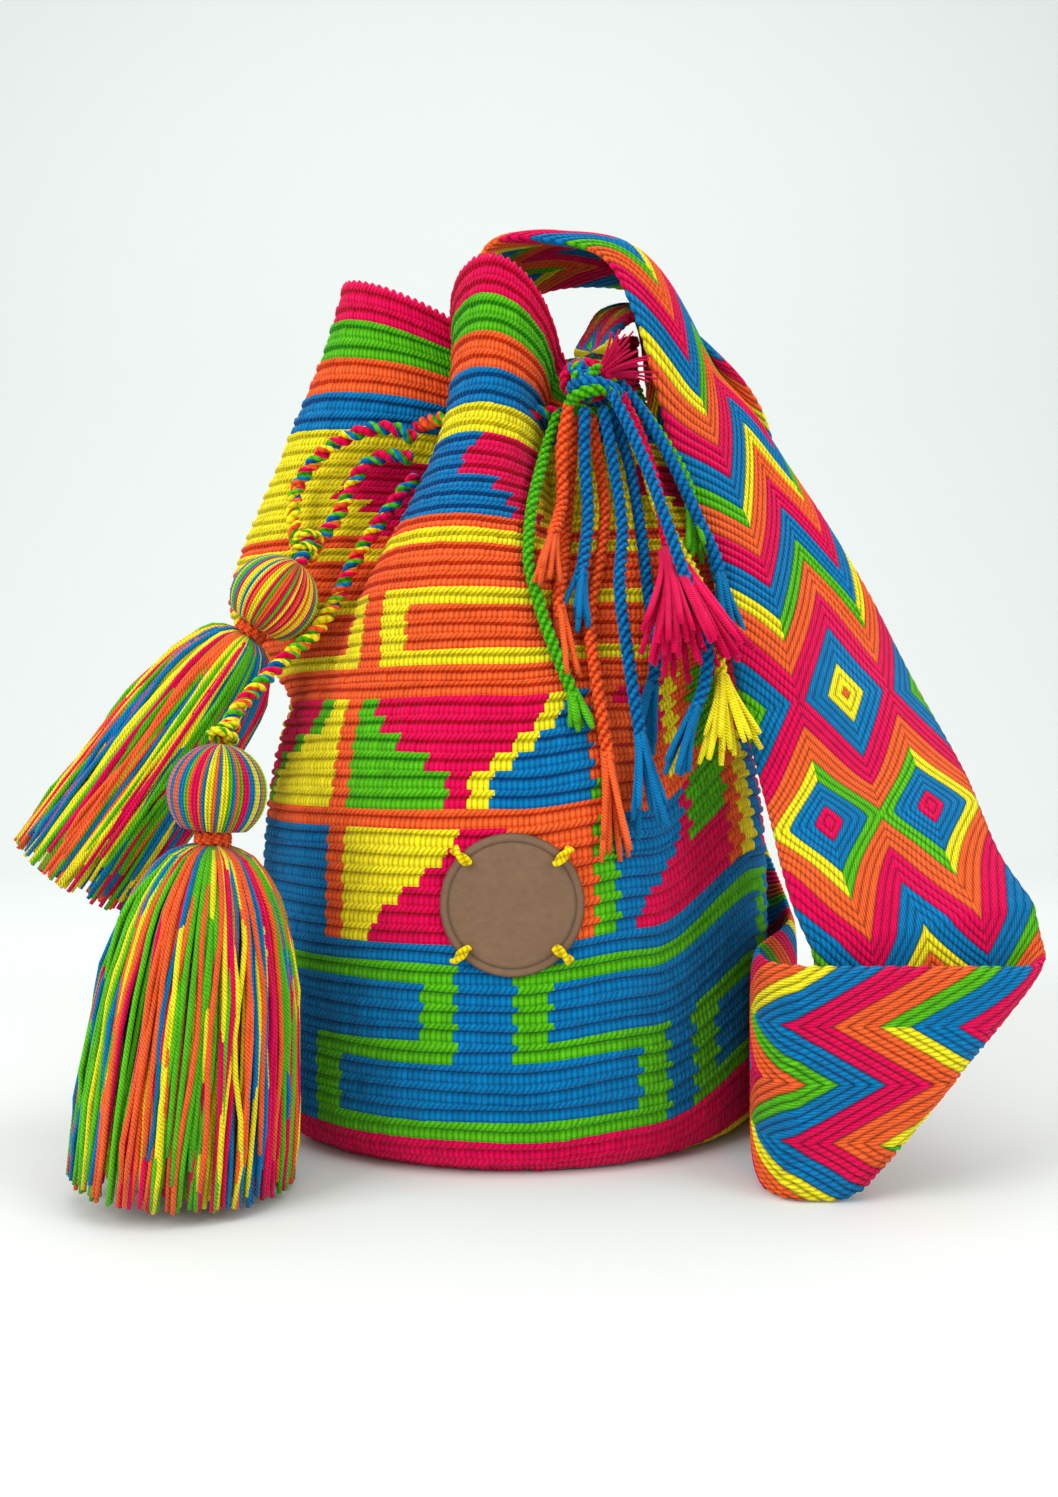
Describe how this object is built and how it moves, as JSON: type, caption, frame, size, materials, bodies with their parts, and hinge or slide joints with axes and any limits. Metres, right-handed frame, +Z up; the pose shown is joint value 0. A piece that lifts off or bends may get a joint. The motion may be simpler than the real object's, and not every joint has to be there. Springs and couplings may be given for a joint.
{
  "type": "wayuu mochila bag",
  "caption": "Crocheted bucket bag with a drawstring neck gathered into folds, a wide woven shoulder strap, yarn tassels, a knotted fringe and a round leather patch.",
  "frame": {"origin": "centre of the round base, on the surface that the bag stands on", "axes": "+Z up out of the mouth, -Y towards the front with the leather patch, +X towards the side where the strap falls"},
  "size_m": [0.3771, 0.2703, 0.3743],
  "materials": {
    "crochet_wall": "crocheted acrylic yarn in five colours, in rows of single crochet",
    "woven_strap": "obliquely plaited acrylic yarn in five colours",
    "patch_leather": "smooth brown leather, satin",
    "drawstring_yarn": "twisted cord of five yarn colours",
    "stitch_thread": "waxed yellow thread",
    "fringe_green": "twisted yarn cord",
    "fringe_orange": "twisted yarn cord",
    "fringe_blue": "twisted yarn cord",
    "fringe_magenta": "twisted yarn cord",
    "fringe_yellow": "twisted yarn cord",
    "tassel_yarn": "loose yarn strands in five colours",
    "tassel_binding": "wrapped yarn"
  },
  "bodies": {
    "root": {"crochet_bag": "crochet_wall", "strap": "woven_strap", "strap_knot": "woven_strap", "leather_patch": "patch_leather", "drawstring_gather": "drawstring_yarn", "drawstring_loop_outer": "drawstring_yarn", "drawstring_loop_inner": "drawstring_yarn", "drawstring_tail": "drawstring_yarn", "patch_stitch_1": "stitch_thread", "patch_stitch_2": "stitch_thread", "patch_stitch_3": "stitch_thread", "patch_stitch_4": "stitch_thread", "fringe_green": "fringe_green", "fringe_orange_short": "fringe_orange", "fringe_orange_middle": "fringe_orange", "fringe_blue_short": "fringe_blue", "fringe_orange_long": "fringe_orange", "fringe_blue_long": "fringe_blue", "fringe_blue_middle": "fringe_blue", "fringe_magenta": "fringe_magenta", "fringe_green_right": "fringe_green", "fringe_blue_right": "fringe_blue", "fringe_blue_loop": "fringe_blue", "fringe_yellow": "fringe_yellow", "lower_tassel_head": "tassel_yarn", "lower_tassel_skirt": "tassel_yarn", "lower_tassel_binding": "tassel_binding", "upper_tassel_head": "tassel_yarn", "upper_tassel_skirt": "tassel_yarn", "upper_tassel_binding": "tassel_binding"}
  },
  "joints": []
}
